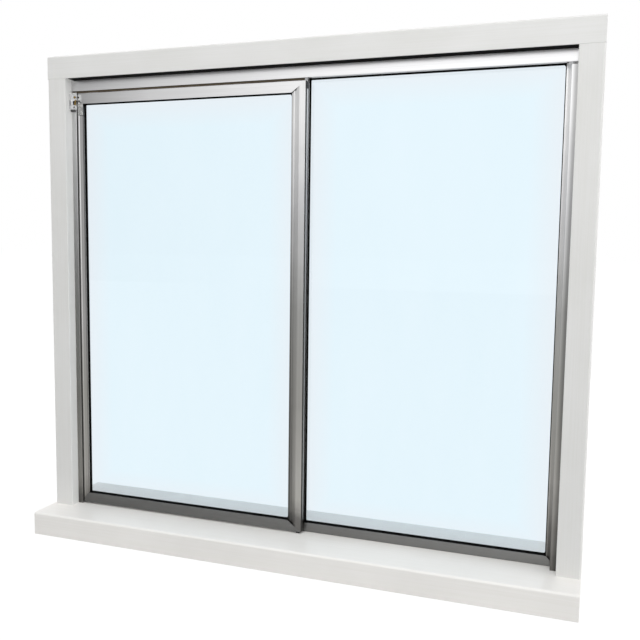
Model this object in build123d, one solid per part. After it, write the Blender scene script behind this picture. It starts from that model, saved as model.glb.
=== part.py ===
from build123d import *
import os

# Concession window: a painted timber surround on a deep sill board, holding an aluminium window
# with a fixed light on the right and a top-hung sliding sash on the left.
# Millimetres. X runs to the right, Y from the front to the back, Z up.
# The origin is under the middle of the sill board, in line with the front of the surround.

# Timber surround
surround_width = 1200.0
surround_height = 1044.5
surround_depth = 80.0
post_width = 46.3
head_height = 50.5
arris_radius = 4.0
inner_arris_radius = 1.0

# Sill board
sill_thickness = 51.5
sill_front_reach = 73.0
sill_back_reach = 100.0
sill_left_horn = 5.0
sill_right_horn = 0.0
sill_nose_radius = 5.0

# Aluminium frame: header and side channels
frame_setback = 23.5
frame_wall = 1.6
header_height = 24.7
fascia_drip = 3.5
fascia_edge_radius = 1.2
header_back_grip = 14.0
track_slot_width = 6.0
channel_face = 12.5
channel_edge_radius = 1.2
channel_grip = 9.0
channel_stop = 3.4

# Framing sections of the two lights, front to back
section_depth = 15.0
section_wall = 1.4
bead_width = 3.0
bead_lip = 1.4
bead_groove_width = 1.0
bead_groove_depth = 0.9
outer_edge_radius = 1.0
bevel_drop = 3.5
back_drop = 1.0
glazing_channel_depth = 9.0
glass_setback = 9.0
glass_thickness = 3.0
glass_edge_clearance = 1.5
gasket_show = 2.0
gasket_tip = 0.6
gasket_grip = 6.0
gasket_corner = 5.0
gasket_corner_depth = 1.5

# Sliding sash
sash_section_width = 23.5
sash_bevel_width = 8.5
sash_width = 568.5
sash_setback = 3.0
sash_bumper = 2.6
sash_floor_gap = 3.0
sash_head_gap = 4.5

# Meeting stile of the sash, wider than its other framing, with a ledge along the glass
meeting_face = 13.5
meeting_bevel_width = 10.5
meeting_bead_width = 7.5
meeting_ledge_width = 4.0
meeting_ledge_depth = 0.7

# Fixed light
fixed_section_width = 20.0
fixed_bevel_width = 7.5
meeting_overlap = 19.3
meeting_gap = 1.5
fixed_head_gap = 0.8

# Roller carriers
wheel_radius = 6.5
wheel_width = 3.6
wheel_spacing = 34.0
wheel_clearance = 0.2
axle_radius = 1.8
axle_clearance = 0.2
axle_end = 0.4
carrier_plate = 3.0
carrier_length = 62.0
carrier_foot_width = 12.0
carrier_foot = 1.8
carrier_inset = 95.0
carrier_head_room = 2.0

# Seals and bottom guide
seal_clearance = 0.3
seal_end_gap = 2.0
bumper_width = 8.0
brush_width = 4.0
channel_brush_inset = 3.5
channel_edge_seal = 0.9
channel_edge_setback = 0.4
head_brush_thickness = 1.1
head_seal_thickness = 1.2
head_seal_setback = 1.5
head_seal_left_gap = 8.0
meeting_brush_inset = 10.0
flank_brush_width = 5.5
flank_brush_thickness = 0.6
flank_brush_setback = 1.2
guide_length = 7.0
guide_height = 9.0
guide_setback = 1.5
guide_inset = 4.5
end_cap_thickness = 1.5
end_cap_height = 14.0
end_cap_drop = 1.0

# Latch bracket at the top left corner
latch_wall = 1.5
latch_leg = 10.2
latch_leg_radius = 4.0
latch_width = 14.6
latch_height = 38.0
latch_drop = 3.5
latch_slot_width = 5.0
latch_slot_height = 8.0
latch_slot_inset = 4.4
latch_slot_drop = 19.6
latch_hole_radius = 1.9
latch_hole_inset = 7.2
latch_hole_rise = 5.6
latch_screw_inset = 9.6
latch_screw_drop = 10.4
latch_screw_radius = 2.7
latch_screw_head = 1.2
bolt_inset = 5.4
bolt_length = 17.6
bolt_height = 2.0
bolt_thickness = 1.4
bolt_drop = 18.2
lever_width = 3.4
lever_length = 12.5
lever_thickness = 1.2
lever_inset = 12.4
lever_drop = 22.6
lever_lean = 6.0
foot_width = 9.8
foot_height = 4.8
foot_depth = 5.0
foot_inset = 0.8

# Latch plate and pull on the sash
plate_start = 13.4
plate_width = 10.8
plate_height = 16.2
plate_top_gap = 3.8
plate_screw_drop = 5.9
plate_screw_inset = 3.8
plate_screw_radius = 2.0
plate_screw_head = 0.8
pull_start = 14.2
pull_width = 14.4
pull_height = 25.6
pull_thickness = 1.2
pull_gap = 3.8
pull_corner_radius = 1.5

# Planes shared by several pieces
sill_top = sill_thickness
surround_top = sill_top + surround_height
head_underside = surround_top - head_height
opening_half = surround_width / 2 - post_width
header_bottom = head_underside - header_height
header_inside_top = head_underside - frame_wall
track_underside = header_bottom + fascia_drip
track_surface = track_underside + frame_wall
frame_front = frame_setback
sash_front = frame_front + sash_setback
sash_back = sash_front + section_depth
fixed_front = sash_back + meeting_gap
fixed_back = fixed_front + section_depth
frame_back = fixed_back + frame_wall
sash_left = -opening_half + frame_wall + sash_bumper
sash_right = sash_left + sash_width
sash_bottom = sill_top + sash_floor_gap
sash_top = header_bottom - sash_head_gap
fixed_left = sash_right - meeting_overlap
fixed_right = opening_half - frame_wall
fixed_top = header_inside_top - fixed_head_gap
track_middle = (sash_front + sash_back) / 2
meeting_width = meeting_face + meeting_bevel_width + meeting_bead_width
stile_bead_back = bevel_drop + bead_lip
back_bead_front = section_depth - back_drop - bead_lip
glass_back = glass_setback + glass_thickness
past = 1.0


def save(shape, name):
    """Write one named piece."""
    export_step(shape, "parts/" + name + ".step")


def block(x0, x1, y0, y1, z0, z1):
    """A box between two corners."""
    middle = Pos((x0 + x1) / 2, (y0 + y1) / 2, (z0 + z1) / 2)
    return middle * Box(x1 - x0, y1 - y0, z1 - z0)


def strip(a0, a1, b0, b1):
    """A rectangle of a section, between two corners."""
    return Pos((a0 + a1) / 2, (b0 + b1) / 2) * Rectangle(a1 - a0, b1 - b0)


def rod(start, direction, radius, length):
    """A round bar from its start point."""
    return extrude(Plane(origin=start, z_dir=direction) * Circle(radius), amount=length)


def glazing_side(width, floor, front, bead_back):
    """Outline of a framing section from its front edge at the glass round to its back edge."""
    return [
        (width, front),
        (width, bead_back),
        (floor, bead_back),
        (floor, back_bead_front),
        (width, back_bead_front),
        (width, section_depth - back_drop),
    ]


def hollow(outline, floor):
    """Close a framing section, bore it behind the glazing channel and ease its outer front edge."""
    solid = make_face(Polyline(*outline, close=True))
    solid = fillet(solid.vertices().sort_by_distance((0, 0, 0))[0], outer_edge_radius)
    return solid - strip(section_wall, floor - section_wall, section_wall, section_depth - section_wall)


def rail_section(width):
    """Hollow rail with a flat face: u runs from the outer edge to the glass, v from front to back."""
    floor = width - glazing_channel_depth
    outline = [(0, 0)] + glazing_side(width, floor, 0, bead_lip)
    outline += [(width - bead_width, section_depth), (0, section_depth)]
    return hollow(outline, floor)


def stile_section(face, bevel, bead, floor):
    """Hollow stile, its face falling in a bevel to a grooved bead along the glass."""
    width = face + bevel + bead
    outline = [(0, 0), (face, 0), (face + bevel, bevel_drop)]
    outline += glazing_side(width, floor, bevel_drop, stile_bead_back)
    outline += [(width - bead_width, section_depth), (0, section_depth)]
    groove_end = bevel_drop + bead_groove_depth
    groove = strip(face + bevel, face + bevel + bead_groove_width, bevel_drop - past, groove_end)
    return hollow(outline, floor) - groove


def plain_stile_section(width, bevel):
    """Stile as wide as the rails that it meets."""
    return stile_section(width - bevel - bead_width, bevel, bead_width, width - glazing_channel_depth)


def meeting_stile_section():
    """The sash's wide right stile, whose bead steps down to a ledge along the glass."""
    floor = sash_section_width - glazing_channel_depth
    section = stile_section(meeting_face, meeting_bevel_width, meeting_bead_width, floor)
    ledge_end = bevel_drop + meeting_ledge_depth
    return section - strip(meeting_width - meeting_ledge_width, meeting_width, bevel_drop - past, ledge_end)


def gasket_section(width, bead_face, glass_face, tip):
    """Glazing gasket between a bead and the glass, with its edge sloping to a thin tip."""
    outline = [
        (width - gasket_grip, bead_face),
        (width, bead_face),
        (width + gasket_show, glass_face + tip),
        (width + gasket_show, glass_face),
        (width - gasket_grip, glass_face),
    ]
    return make_face(Polyline(*outline, close=True))


def member(section, corner, inward, length):
    """Extrude a section whose u axis points inward and whose v axis points to the back."""
    along = Vector(*inward).cross(Vector(0, 1, 0))
    plane = Plane(origin=corner, x_dir=inward, z_dir=along)
    return extrude(plane * section, amount=length)


def mitre(points, y0, y1):
    """A block with a trapezium face, to trim a member to its mitres."""
    front = Plane(origin=(0, y0, 0), x_dir=(1, 0, 0), z_dir=(0, -1, 0))
    return extrude(front * make_face(Polyline(*points, close=True)), amount=y0 - y1)


def four_sides(rail, left_stile, right_stile, reach, right_reach, x0, x1, z0, z1, y0):
    """Bottom, top, left and right members of a frame, mitred from its corners at the reaches' slopes."""
    y1 = y0 + section_depth
    bottom = member(rail, (x1, y0, z0), (0, 0, 1), x1 - x0)
    top = member(rail, (x0, y0, z1), (0, 0, -1), x1 - x0)
    left = member(left_stile, (x0, y0, z0), (1, 0, 0), z1 - z0)
    right = member(right_stile, (x1, y0, z1), (-1, 0, 0), z1 - z0)
    inner = [(x0 + reach, z0 + reach), (x1 - right_reach, z0 + reach)]
    inner += [(x1 - right_reach, z1 - reach), (x0 + reach, z1 - reach)]
    outer = [(x0, z0), (x1, z0), (x1, z1), (x0, z1)]
    trimmed = []
    for shape, a, b in ((bottom, 0, 1), (top, 2, 3), (left, 3, 0), (right, 1, 2)):
        trimmed.append(shape & mitre([outer[a], outer[b], inner[b], inner[a]], y0, y1))
    return trimmed


def gasket_corners(x0, x1, z0, z1, glass_front):
    """Small webs that round the four corners of a front gasket."""
    y0 = glass_front - gasket_corner_depth
    webs = []
    for x, side in ((x0, 1), (x1, -1)):
        for z, rise in ((z0, 1), (z1, -1)):
            far_x, far_z = x + side * gasket_corner, z + rise * gasket_corner
            web = block(min(x, far_x), max(x, far_x), y0, glass_front, min(z, far_z), max(z, far_z))
            webs.append(web - rod((far_x, y0, far_z), (0, 1, 0), gasket_corner, gasket_corner_depth))
    return webs


def glazed_light(name, width, bevel, right_stile, right_width, x0, x1, z0, z1, y0):
    """A mitred frame with its glass and gaskets. Only the stiles are bevelled towards the glass."""
    left_stile = plain_stile_section(width, bevel)
    sides = four_sides(rail_section(width), left_stile, right_stile, width, right_width, x0, x1, z0, z1, y0)
    for side, place in zip(sides, ("bottom_rail", "top_rail", "left_stile", "right_stile")):
        save(side, name + "_" + place)
    reach, right_edge = width + gasket_show, right_width + gasket_show
    right_reach = reach * right_width / width
    rail = gasket_section(width, bead_lip, glass_setback, -gasket_tip)
    left = gasket_section(width, stile_bead_back, glass_setback, -gasket_tip)
    right = gasket_section(right_width, stile_bead_back, glass_setback, -gasket_tip)
    front = sum_of(four_sides(rail, left, right, reach, right_reach, x0, x1, z0, z1, y0))
    front += gasket_corners(x0 + reach, x1 - right_edge, z0 + reach, z1 - reach, y0 + glass_setback)
    save(front, name + "_front_gasket")
    left = gasket_section(width, back_bead_front, glass_back, gasket_tip)
    right = gasket_section(right_width, back_bead_front, glass_back, gasket_tip)
    save(sum_of(four_sides(left, left, right, reach, right_reach, x0, x1, z0, z1, y0)), name + "_back_gasket")
    bite = width - glazing_channel_depth + glass_edge_clearance
    pane = block(x0 + bite, x1 - bite, y0 + glass_setback, y0 + glass_back, z0 + bite, z1 - bite)
    save(pane, name + "_glass")


def sum_of(shapes):
    """Join pieces that touch into one."""
    return shapes[0] + shapes[1:]


def sash():
    """The sliding light in front, on the left."""
    sides = sash_left, sash_right, sash_bottom, sash_top, sash_front
    glazed_light(
        "sash", sash_section_width, sash_bevel_width, meeting_stile_section(), meeting_width, *sides
    )


def fixed_light():
    """The light behind, on the right, with four sides of one width."""
    right_stile = plain_stile_section(fixed_section_width, fixed_bevel_width)
    sides = fixed_left, fixed_right, sill_top, fixed_top, fixed_front
    glazed_light(
        "fixed", fixed_section_width, fixed_bevel_width, right_stile, fixed_section_width, *sides
    )


def surround():
    """Two posts with the head lying across them, outer edges well rounded."""
    half = surround_width / 2
    left = block(-half, -opening_half, 0, surround_depth, sill_top, head_underside)
    save(ease(left, Axis.Z, Axis.X, False), "left_post")
    right = block(opening_half, half, 0, surround_depth, sill_top, head_underside)
    save(ease(right, Axis.Z, Axis.X, True), "right_post")
    head = block(-half, half, 0, surround_depth, head_underside, surround_top)
    save(ease(head, Axis.X, Axis.Z, True), "head_board")


def ease(board, along, across, outer_last):
    """Round a board's four long edges, the outer pair well and the pair towards the window only just."""
    edges = board.edges().filter_by(along).sort_by(across)
    outer_edges = edges[2:] if outer_last else edges[:2]
    board = fillet(outer_edges, arris_radius)
    ends = board.edges().filter_by(along).sort_by(across)
    inner_edges = ends[:2] if outer_last else ends[-2:]
    return fillet(inner_edges, inner_arris_radius)


def sill():
    """The deep board that the window stands on, inside and out."""
    left, right = -surround_width / 2 - sill_left_horn, surround_width / 2 + sill_right_horn
    back = surround_depth + sill_back_reach
    board = block(left, right, -sill_front_reach, back, 0, sill_top)
    front = board.edges().filter_by(Axis.X).filter_by_position(Axis.Z, sill_top - past, sill_top + past)
    board = fillet(front, sill_nose_radius)
    foot = board.edges().filter_by(Axis.X).filter_by_position(Axis.Z, -past, past)
    save(fillet(foot, inner_arris_radius), "sill_board")


def header():
    """Header extrusion: fascia, roller track in front and a pocket for the fixed light behind."""
    y0, y1 = frame_front, frame_back
    slot_front = track_middle - track_slot_width / 2
    slot_back = track_middle + track_slot_width / 2
    section = strip(y0, y0 + frame_wall, header_bottom, head_underside)
    section += strip(y0, y1, header_inside_top, head_underside)
    section += strip(y0, slot_front, track_underside, track_surface)
    section += strip(slot_back, fixed_front, track_underside, track_surface)
    section += strip(fixed_front - frame_wall, fixed_front, track_underside, head_underside)
    section += strip(fixed_back, y1, header_inside_top - header_back_grip, head_underside)
    lip = section.vertices().sort_by_distance((y0, header_bottom, 0))[0]
    section = fillet(lip, fascia_edge_radius)
    plane = Plane(origin=(-opening_half, 0, 0), x_dir=(0, 1, 0), z_dir=(1, 0, 0))
    save(extrude(plane * section, amount=2 * opening_half), "header_track")


def side_channel(side):
    """Side channel that stops short of the header: a web on the post, a face, a middle and a back flange."""
    section = strip(0, frame_wall, frame_front, frame_back)
    section += strip(0, channel_face, frame_front, frame_front + frame_wall)
    section += strip(0, channel_stop, fixed_front - frame_wall, fixed_front)
    section += strip(0, channel_grip, fixed_back, frame_back)
    free_edge = section.vertices().sort_by_distance((channel_face, frame_front, 0))[0]
    section = fillet(free_edge, channel_edge_radius)
    tall = extrude(Plane(origin=(0, 0, sill_top)) * section, amount=sash_top - sill_top)
    if side > 0:
        tall = mirror(tall, about=Plane.YZ)
    return Pos(side * opening_half, 0, 0) * tall


def jamb_seals():
    """Rubber bumper in the left channel, and brush strips at the channel's lip and at the meeting stiles."""
    x0 = -opening_half + frame_wall
    z0, z1 = sash_bottom + seal_end_gap, sash_top - seal_end_gap
    y0, y1 = track_middle - bumper_width / 2, track_middle + bumper_width / 2
    save(block(x0, x0 + sash_bumper, y0, y1, z0, z1), "sash_bumper")
    y0, y1 = frame_front + frame_wall, sash_front - seal_clearance
    lip = -opening_half + channel_face
    brush = block(-opening_half + channel_brush_inset, lip + channel_edge_seal, y0, y1, z0, z1)
    brush += block(lip, lip + channel_edge_seal, frame_front + channel_edge_setback, y0, z0, z1)
    save(brush, "channel_brush")
    brush_end = sash_right - meeting_brush_inset
    low = sill_top + guide_height + seal_end_gap
    between = block(brush_end - brush_width, brush_end, sash_back, fixed_front, low, z1)
    y0 = sash_front + flank_brush_setback
    high = sash_top - end_cap_drop - end_cap_height
    flank_end = sash_right + flank_brush_thickness
    flank = block(sash_right, flank_end, y0, y0 + flank_brush_width, z0, high)
    save(Compound(children=[between, flank]), "meeting_brush")


def head_seals():
    """Black strip under the head in front of the header, and a brush between the track and the sash."""
    left, right = -opening_half + head_seal_left_gap, opening_half
    strip_bottom = head_underside - head_seal_thickness
    save(block(left, right, head_seal_setback, frame_front, strip_bottom, head_underside), "head_seal")
    y1 = sash_front + head_brush_thickness
    save(block(-opening_half, sash_right, sash_front, y1, sash_top, track_underside), "head_brush")


def roller_carriers():
    """Two carriers screwed to the top of the sash, each on four wheels in the header."""
    wheel_middle = track_surface + wheel_clearance + wheel_radius
    plate_top = min(wheel_middle + wheel_radius, header_inside_top - carrier_head_room)
    reach = carrier_plate / 2 + wheel_clearance + wheel_width + axle_end
    bore_radius = axle_radius + axle_clearance
    foot_half = carrier_foot_width / 2
    wheels, axles = [], []
    for name, middle in (("left", sash_left + carrier_inset), ("right", sash_right - carrier_inset)):
        x0, x1 = middle - carrier_length / 2, middle + carrier_length / 2
        y0, y1 = track_middle - carrier_plate / 2, track_middle + carrier_plate / 2
        foot_top = sash_top + carrier_foot
        carrier = block(x0, x1, track_middle - foot_half, track_middle + foot_half, sash_top, foot_top)
        carrier += block(x0, x1, y0, y1, sash_top, plate_top)
        for x in (middle - wheel_spacing / 2, middle + wheel_spacing / 2):
            carrier -= rod((x, y0 - past, wheel_middle), (0, 1, 0), bore_radius, carrier_plate + 2 * past)
            axles.append(rod((x, track_middle - reach, wheel_middle), (0, 1, 0), axle_radius, 2 * reach))
            for side in (-1, 1):
                inner = track_middle + side * (carrier_plate / 2 + wheel_clearance)
                wheel = rod((x, inner, wheel_middle), (0, side, 0), wheel_radius, wheel_width)
                wheels.append(wheel - rod((x, inner, wheel_middle), (0, side, 0), bore_radius, wheel_width))
        save(carrier, name + "_roller_carrier")
    save(Compound(children=wheels), "track_wheels")
    save(Compound(children=axles), "wheel_axles")


def bottom_guide():
    """Small guide shoe on the sill under the meeting stile, with a lug behind the sash."""
    x1 = sash_right - guide_inset
    x0 = x1 - guide_length
    y0, y1 = sash_front + guide_setback, fixed_front - seal_clearance
    guide = block(x0, x1, y0, y1, sill_top, sash_bottom - seal_clearance)
    guide += block(x0, x1, sash_back + seal_clearance, y1, sill_top, sill_top + guide_height)
    save(guide, "bottom_guide")


def sash_end_cap():
    """Black cap on the flank of the sash's right stile, just under its top."""
    z1 = sash_top - end_cap_drop
    y0, y1 = sash_front + past, sash_back - past
    cap = block(sash_right, sash_right + end_cap_thickness, y0, y1, z1 - end_cap_height, z1)
    save(cap, "sash_end_cap")


def latch_openings(face):
    """The slot and the hole of the latch, cut through the bracket and the channel face behind it."""
    top = header_bottom - latch_drop
    left, slot_top = latch_slot_inset - opening_half, top - latch_slot_drop
    right, slot_bottom = left + latch_slot_width, slot_top - latch_slot_height
    back = frame_front + frame_wall
    hole_middle = (latch_hole_inset - opening_half, face, top - latch_height + latch_hole_rise)
    return block(left, right, face, back, slot_bottom, slot_top) + rod(
        hole_middle, (0, 1, 0), latch_hole_radius, back - face
    )


def latch_bracket():
    """Angle bracket in the corner with a slot and a hole, its screw and foot, and its bolt with the lever."""
    x0 = -opening_half
    z1 = header_bottom - latch_drop
    z0 = z1 - latch_height
    face = frame_front - latch_wall
    bracket = block(x0, x0 + latch_width, face, frame_front, z0, z1)
    leg_front = frame_front - latch_leg
    leg = block(x0, x0 + latch_wall, leg_front, face, z0, z1 - latch_drop)
    corner = leg.edges().filter_by(Axis.X).sort_by(Axis.Z)[:2].sort_by(Axis.Y)[:1]
    bracket += fillet(corner, latch_leg_radius)
    save(bracket - latch_openings(face), "latch_bracket")
    save(side_channel(-1) - latch_openings(face), "left_channel")
    screw_middle = (x0 + latch_screw_inset, face, z1 - latch_screw_drop)
    save(rod(screw_middle, (0, -1, 0), latch_screw_radius, latch_screw_head), "latch_screw")
    bolt_left, bolt_top, bolt_front = x0 + bolt_inset, z1 - bolt_drop, face - bolt_thickness
    bolt = block(bolt_left, bolt_left + bolt_length, bolt_front, face, bolt_top - bolt_height, bolt_top)
    save(bolt, "latch_bolt")
    lever_middle = (x0 + lever_inset, bolt_front, z1 - lever_drop)
    plane = Plane(origin=lever_middle, x_dir=(1, 0, 0), z_dir=(0, -1, 0))
    tongue = Rot(0, 0, 90 - lever_lean) * SlotOverall(lever_length, lever_width)
    save(extrude(plane * tongue, amount=lever_thickness), "latch_lever")
    foot_left = x0 + foot_inset
    foot_front = frame_front - foot_depth
    foot = block(foot_left, foot_left + foot_width, foot_front, frame_front, z0 - foot_height, z0)
    save(foot, "latch_foot")


def sash_latch_parts():
    """Keeper plate, its screw and the finger pull on the corner of the sash."""
    x0 = -opening_half + plate_start
    x1 = x0 + plate_width
    z1 = sash_top - plate_top_gap
    z0 = z1 - plate_height
    face = sash_front - latch_wall
    save(block(x0, x1, face, sash_front, z0, z1), "sash_latch_plate")
    screw_middle = (x0 + plate_screw_inset, face, z1 - plate_screw_drop)
    save(rod(screw_middle, (0, -1, 0), plate_screw_radius, plate_screw_head), "sash_plate_screw")
    left = -opening_half + pull_start
    top = z0 - pull_gap
    pull = block(left, left + pull_width, sash_front - pull_thickness, sash_front, top - pull_height, top)
    save(fillet(pull.edges().filter_by(Axis.Y), pull_corner_radius), "sash_pull")


os.makedirs("parts", exist_ok=True)
surround()
sill()
header()
save(side_channel(1), "right_channel")
sash()
fixed_light()
jamb_seals()
head_seals()
roller_carriers()
bottom_guide()
sash_end_cap()
latch_bracket()
sash_latch_parts()
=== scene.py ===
# %% [markdown]
# # A concession window, dressed for its portrait
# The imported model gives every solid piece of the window: boards, aluminium sections, glass, seals and
# rollers. This notebook adds what the eye needs: the camera, plain light, the finishes and the smallest
# fittings. Everything is in metres, with the origin under the middle of the sill board.

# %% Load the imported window
import math

import bmesh
import bpy
from mathutils import Matrix, Vector


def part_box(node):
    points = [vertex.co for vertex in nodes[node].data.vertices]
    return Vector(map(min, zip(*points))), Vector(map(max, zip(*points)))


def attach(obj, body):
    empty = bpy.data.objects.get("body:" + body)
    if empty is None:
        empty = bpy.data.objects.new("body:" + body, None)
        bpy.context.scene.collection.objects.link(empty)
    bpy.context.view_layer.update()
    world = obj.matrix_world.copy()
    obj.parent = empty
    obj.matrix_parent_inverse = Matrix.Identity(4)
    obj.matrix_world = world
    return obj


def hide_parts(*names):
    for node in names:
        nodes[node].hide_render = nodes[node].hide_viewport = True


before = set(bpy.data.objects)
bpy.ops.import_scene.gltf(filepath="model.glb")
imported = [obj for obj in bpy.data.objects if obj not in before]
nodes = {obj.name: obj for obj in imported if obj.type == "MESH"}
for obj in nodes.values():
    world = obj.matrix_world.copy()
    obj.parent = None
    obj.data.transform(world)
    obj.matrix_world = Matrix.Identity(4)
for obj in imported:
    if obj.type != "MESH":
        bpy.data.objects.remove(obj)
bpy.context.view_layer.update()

scene = bpy.context.scene
MM = 0.001
print("pieces in the packed window:", len(nodes))

# %% [markdown]
# ## The camera
# The photograph was taken from in front of the window's right edge, a little above its middle, with the
# lens turned left and slightly down. The place and the turn were worked out from the window's own edges, so
# the long edges of the boards run the same way here. The turn is written as three angles in radians, in the
# order in which a tripod head moves.

# %% Place the camera
CAMERA_PLACE = (0.6057, -1.5290, 0.6859)
YAW = 0.3390
PITCH = -0.0993
ROLL = 0.0133
SENSOR_WIDTH_MM = 36.0
FOCAL_LENGTH_MM = 44.306

swing = Matrix.Rotation(YAW, 4, "Z")
tilt = Matrix.Rotation(math.pi / 2 + PITCH, 4, "X")
lean = Matrix.Rotation(ROLL, 4, "Z")
lens = bpy.data.cameras.new("portrait_lens")
lens.sensor_width = SENSOR_WIDTH_MM
lens.lens = FOCAL_LENGTH_MM
camera = bpy.data.objects.new("portrait_camera", lens)
camera.matrix_world = Matrix.Translation(CAMERA_PLACE) @ (swing @ tilt @ lean)
scene.collection.objects.link(camera)
scene.camera = camera
scene.view_settings.view_transform = "Standard"
print("camera at", tuple(round(v, 3) for v in camera.matrix_world.translation))

# %% [markdown]
# ## Helpers for finishes
# Colours are written as the hex values that a paint chart would give, and turned into the linear values
# that the renderer mixes. One function adds a node with its settings, its plain values and its links, so
# each finish reads as a short list of steps.

# %% Colour and node helpers
def linear(code):
    """Turn an sRGB hex colour into linear red, green, blue and alpha."""
    parts = [int(code[i:i + 2], 16) / 255 for i in (1, 3, 5)]
    return tuple(c / 12.92 if c <= 0.04045 else ((c + 0.055) / 1.055) ** 2.4 for c in parts) + (1.0,)


def add_node(tree, kind, inputs=None, **settings):
    """Add one node. Inputs are values or the output sockets of other nodes, by name or by number."""
    node = tree.nodes.new(kind)
    for name, value in settings.items():
        setattr(node, name, value)
    for name, value in (inputs or {}).items():
        if isinstance(value, bpy.types.NodeSocket):
            tree.links.new(value, node.inputs[name])
        else:
            node.inputs[name].default_value = value
    return node


def new_finish(name):
    """A new material, its empty node tree and its output node."""
    finish = bpy.data.materials.new(name)
    finish.use_nodes = True
    finish.node_tree.nodes.clear()
    return finish, finish.node_tree, finish.node_tree.nodes.new("ShaderNodeOutputMaterial")


def set_ramp(node, stops):
    """Give a colour ramp its stops, as pairs of place and hex colour."""
    ramp = node.color_ramp
    while len(ramp.elements) < len(stops):
        ramp.elements.new(0.5)
    for element, (place, code) in zip(ramp.elements, stops):
        element.position = place
        element.color = linear(code)


def seen_directly(tree, path):
    """One for rays from the camera or from a mirror, and zero for all others."""
    rays = {0: path.outputs["Is Camera Ray"], 1: path.outputs["Is Glossy Ray"]}
    return add_node(tree, "ShaderNodeMath", rays, operation="MAXIMUM").outputs[0]


WHITE = linear("#ffffff")
print("white reads as", WHITE)

# %% [markdown]
# ## World and floor
# The window stands on a plain pale floor in an evenly white studio. The room gives light at half strength,
# but rays from the camera, from a mirror and through glass find it white. The floor is made in the same
# way: its matt colour takes the light, and a glow laid over it for those rays lifts it to white and still
# leaves a soft shadow under the sill. Seen through a pane, floor and room have nearly the same white, so
# that no clear horizon crosses the glass.

# %% Studio world
ROOM_LIGHT = 0.50
ROOM_SEEN = 1.0
ROOM_THROUGH_GLASS = 0.992
world = bpy.data.worlds.new("studio_white")
world.use_nodes = True
scene.world = world
room = world.node_tree
room.nodes.clear()
path = add_node(room, "ShaderNodeLightPath")
through_glass = path.outputs["Is Transmission Ray"]
shown = add_node(
    room, "ShaderNodeMath", {0: seen_directly(room, path), 1: through_glass}, operation="MAXIMUM"
)
plain = add_node(room, "ShaderNodeBackground", {"Color": WHITE, "Strength": ROOM_LIGHT})
brightness = add_node(
    room, "ShaderNodeMapRange", {"Value": through_glass, "To Min": ROOM_SEEN, "To Max": ROOM_THROUGH_GLASS}
)
white = add_node(room, "ShaderNodeBackground", {"Color": WHITE, "Strength": brightness.outputs[0]})
either = add_node(
    room, "ShaderNodeMixShader", {0: shown.outputs[0], 1: plain.outputs[0], 2: white.outputs[0]}
)
add_node(room, "ShaderNodeOutputWorld", {"Surface": either.outputs[0]})
print("the room lights at", ROOM_LIGHT, "and shows at", ROOM_SEEN)

# %% Floor
FLOOR_SIZE = 60.0
GLOW_SEEN = 1.18
GLOW_THROUGH_GLASS = 0.998
SHARE_SEEN = 0.80
SHARE_THROUGH_GLASS = 0.96
bpy.ops.object.select_all(action="DESELECT")
bpy.ops.mesh.primitive_plane_add(size=FLOOR_SIZE, location=(0, 0, 0))
floor = bpy.context.object
floor.name = "studio_floor"
floor_finish, tree, out = new_finish("pale_studio_floor")
path = add_node(tree, "ShaderNodeLightPath")
through_glass = path.outputs["Is Transmission Ray"]
glass_share = add_node(
    tree, "ShaderNodeMath", {0: through_glass, 1: SHARE_THROUGH_GLASS}, operation="MULTIPLY"
)
share = add_node(
    tree, "ShaderNodeMath", {0: seen_directly(tree, path), 1: SHARE_SEEN, 2: glass_share.outputs[0]},
    operation="MULTIPLY_ADD",
)
matt = add_node(tree, "ShaderNodeBsdfDiffuse", {"Color": linear("#cfcfce")})
bright = add_node(
    tree, "ShaderNodeMapRange", {"Value": through_glass, "To Min": GLOW_SEEN, "To Max": GLOW_THROUGH_GLASS}
)
glow = add_node(tree, "ShaderNodeEmission", {"Color": WHITE, "Strength": bright.outputs[0]})
mixed = add_node(tree, "ShaderNodeMixShader", {0: share.outputs[0], 1: matt.outputs[0], 2: glow.outputs[0]})
tree.links.new(mixed.outputs[0], out.inputs["Surface"])
floor.data.materials.append(floor_finish)
print("floor:", floor.name, "with", floor_finish.name)

# %% [markdown]
# ## Lamps and a card to mirror
# A wide soft lamp overhead lifts the sill, one at the right brings out the reveals that face it, and a low
# one behind the window lights the strip of sill that shows through the glass. None of them shows in the
# picture or in the metal, and the low one doesn't show through the glass either. Metal needs something to
# mirror besides white, so a card that fades from grey to white stands at the left of the camera. Only
# mirror rays find it, so it takes no light away and never shows itself.

# %% Lamps
def add_lamp(name, place, aim, width, height, power):
    """A soft rectangular lamp, turned towards a point and seen neither directly nor in a mirror."""
    data = bpy.data.lights.new(name, "AREA")
    data.shape = "RECTANGLE"
    data.size = width
    data.size_y = height
    data.energy = power
    lamp = bpy.data.objects.new(name, data)
    lamp.location = place
    lamp.rotation_euler = (Vector(aim) - Vector(place)).to_track_quat("-Z", "Y").to_euler()
    lamp.visible_camera = False
    lamp.visible_glossy = False
    scene.collection.objects.link(lamp)
    return lamp


add_lamp("overhead_softbox", (0.1, -1.5, 3.0), (0.0, 0.0, 0.3), 2.6, 2.6, 49.0)
add_lamp("right_softbox", (4.5, -0.9, 0.8), (0.0, 0.0, 0.5), 2.0, 2.0, 76.0)
back_lamp = add_lamp("back_softbox", (0.0, 2.6, 0.9), (0.0, 0.1, 0.1), 2.4, 0.6, 26.0)
back_lamp.visible_transmission = False

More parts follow.
